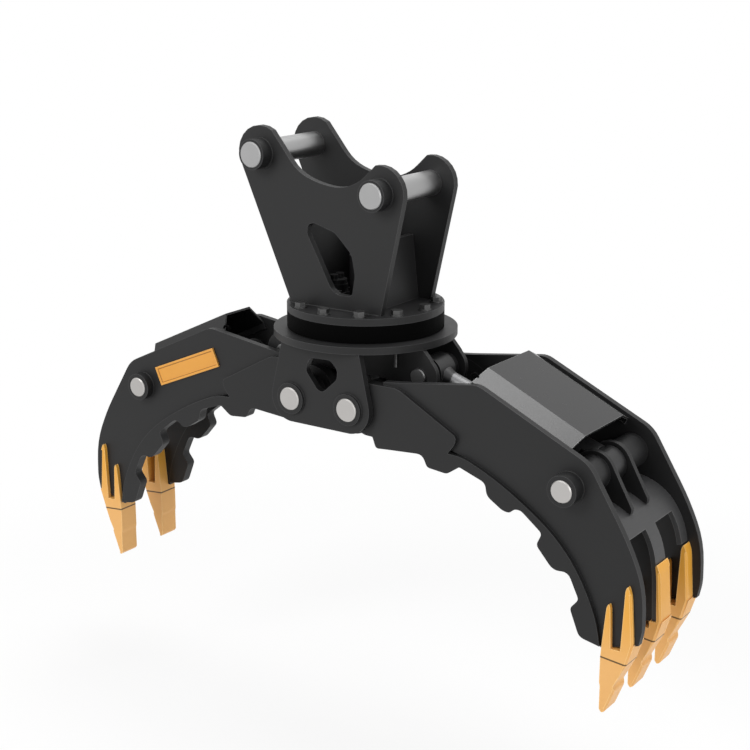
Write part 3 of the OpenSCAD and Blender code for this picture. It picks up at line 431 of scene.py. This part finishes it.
# Stop stud under the round plate: a threaded rod with its nut, in front of the
# clevis of the three-tine jaw.
stud_x, stud_y, stud_top, stud_low = 0.14, -0.079, 0.711, 0.663
stud_r, thread_pitch, thread_swell = 0.004, 0.003, 1.16
nut_r, nut_h, nut_edge = 0.008, 0.007, 0.0007
stud = bmesh.new()
bmesh.ops.create_circle(stud, cap_ends=True, segments=16, radius=stud_r)
loop = list(stud.edges)
turns = int((stud_top - stud_low) / thread_pitch) * 2
for turn in range(turns):
    grown = bmesh.ops.extrude_edge_only(stud, edges=loop)["geom"]
    loop = lines_of(grown)
    bmesh.ops.translate(stud, verts=points_of(grown), vec=(0, 0, -(stud_top - stud_low) / turns))
    size = thread_swell if turn % 2 else 1 / thread_swell
    bmesh.ops.scale(stud, verts=points_of(grown), vec=(size, size, 1))
bmesh.ops.contextual_create(stud, geom=loop)
nut = bmesh.ops.create_cone(stud, cap_ends=True, segments=6, radius1=nut_r, radius2=nut_r,
                            depth=nut_h)
bmesh.ops.translate(stud, verts=nut["verts"], vec=(0, 0, -nut_h / 2))
round_off(stud, [e for e in stud.edges if e.calc_length() > nut_r * 0.8], nut_edge)
bmesh.ops.translate(stud, verts=stud.verts, vec=(stud_x, stud_y, stud_top))
piece("stop_stud", stud, "lower_frame", bolt_steel)


# Latch loops: bent round bar, welded to the front edge of each cylinder guard so
# that the guard can be tied down.
loop_r, bar_r, loop_angle = 0.008, 0.0028, -1.6 * math.pi
wide_latch, narrow_latch = (0.3815, -0.125, 0.6885), (-0.3765, -0.07, 0.6785)
for side, place in (("wide", wide_latch), ("narrow", narrow_latch)):
    bar = bmesh.new()
    bmesh.ops.create_circle(bar, cap_ends=True, segments=12, radius=bar_r)
    bmesh.ops.translate(bar, verts=bar.verts, vec=(loop_r, 0, 0))
    bmesh.ops.spin(bar, geom=list(bar.verts) + list(bar.edges) + list(bar.faces),
                   cent=(0, 0, 0), axis=(0, 1, 0), angle=loop_angle, steps=24)
    if side == "narrow":
        bmesh.ops.rotate(bar, verts=bar.verts, cent=(0, 0, 0),
                         matrix=Matrix.Rotation(math.pi, 3, "Z"))
    bmesh.ops.translate(bar, verts=bar.verts, vec=place)
    piece("latch_loop_" + side, bar, side + "_jaw", band_coat, True)


# The studio: a pale sweep under soft light. The grapple hangs from its head, so the
# floor lies below the closed jaws. Floor and world show white to the camera and to
# reflections, and the floor keeps the grapple's shadow near it.
floor_level, floor_half = -0.31, 120
shadow_share, shadow_near, shadow_far = 0.2, 0.9, 2.2


# 1 for rays that reach the camera straight, off gloss or through glass
def seen(finish):
    ray = finish.add("ShaderNodeLightPath")
    return ray["Is Camera Ray"].highest(ray["Is Glossy Ray"]).highest(ray["Is Transmission Ray"])


sweep = bmesh.new()
bmesh.ops.create_grid(sweep, x_segments=1, y_segments=1, size=floor_half)
bmesh.ops.translate(sweep, verts=sweep.verts, vec=(0, 0, floor_level))
sweep_mesh = bpy.data.meshes.new("studio_floor")
sweep.to_mesh(sweep_mesh)
sweep.free()
floor = bpy.data.objects.new("studio_floor", sweep_mesh)
bpy.context.scene.collection.objects.link(floor)
ground = Finish("studio_floor")
spot = ground.parts()
away = ((spot["X"] * spot["X"] + spot["Y"] * spot["Y"]) ** 0.5).fade(shadow_near, shadow_far)
pale = ground.add("ShaderNodeBsdfDiffuse", {}, {"Color": (0.86, 0.86, 0.86)})[0]
white = ground.add("ShaderNodeEmission", {}, {"Color": (1, 1, 1), "Strength": 1.0})[0]
shown = seen(ground) * (1 - shadow_share + shadow_share * away)
floor.data.materials.append(ground.done(
    ground.add("ShaderNodeMixShader", {}, {0: shown, 1: pale, 2: white})[0]))

sky = Finish("studio", "World")
pale = sky.add("ShaderNodeBackground", {}, {"Color": (0.8, 0.8, 0.8), "Strength": 0.5})[0]
white = sky.add("ShaderNodeBackground", {}, {"Color": (1, 1, 1), "Strength": 1.0})[0]
bpy.context.scene.world = sky.done(
    sky.add("ShaderNodeMixShader", {}, {0: seen(sky), 1: pale, 2: white})[0])


def lamp(name, place, aim_height, size, watts):
    data = bpy.data.lights.new(name, "AREA")
    data.shape = "SQUARE"
    data.size = size
    data.energy = watts
    light = bpy.data.objects.new(name, data)
    bpy.context.scene.collection.objects.link(light)
    light.location = place
    away_from = Vector(place) - Vector((0, 0, aim_height))
    light.rotation_euler = away_from.to_track_quat("Z", "Y").to_euler()


lamp("key_lamp", place=(-1.6, -4.2, 3.6), aim_height=0.6, size=2.4, watts=150)
lamp("fill_lamp", place=(4.4, -1.2, 2.2), aim_height=0.5, size=2.5, watts=70)
lamp("top_lamp", place=(0.2, 0.8, 4.5), aim_height=0.6, size=2.5, watts=110)
bpy.context.scene.view_settings.view_transform = "Standard"
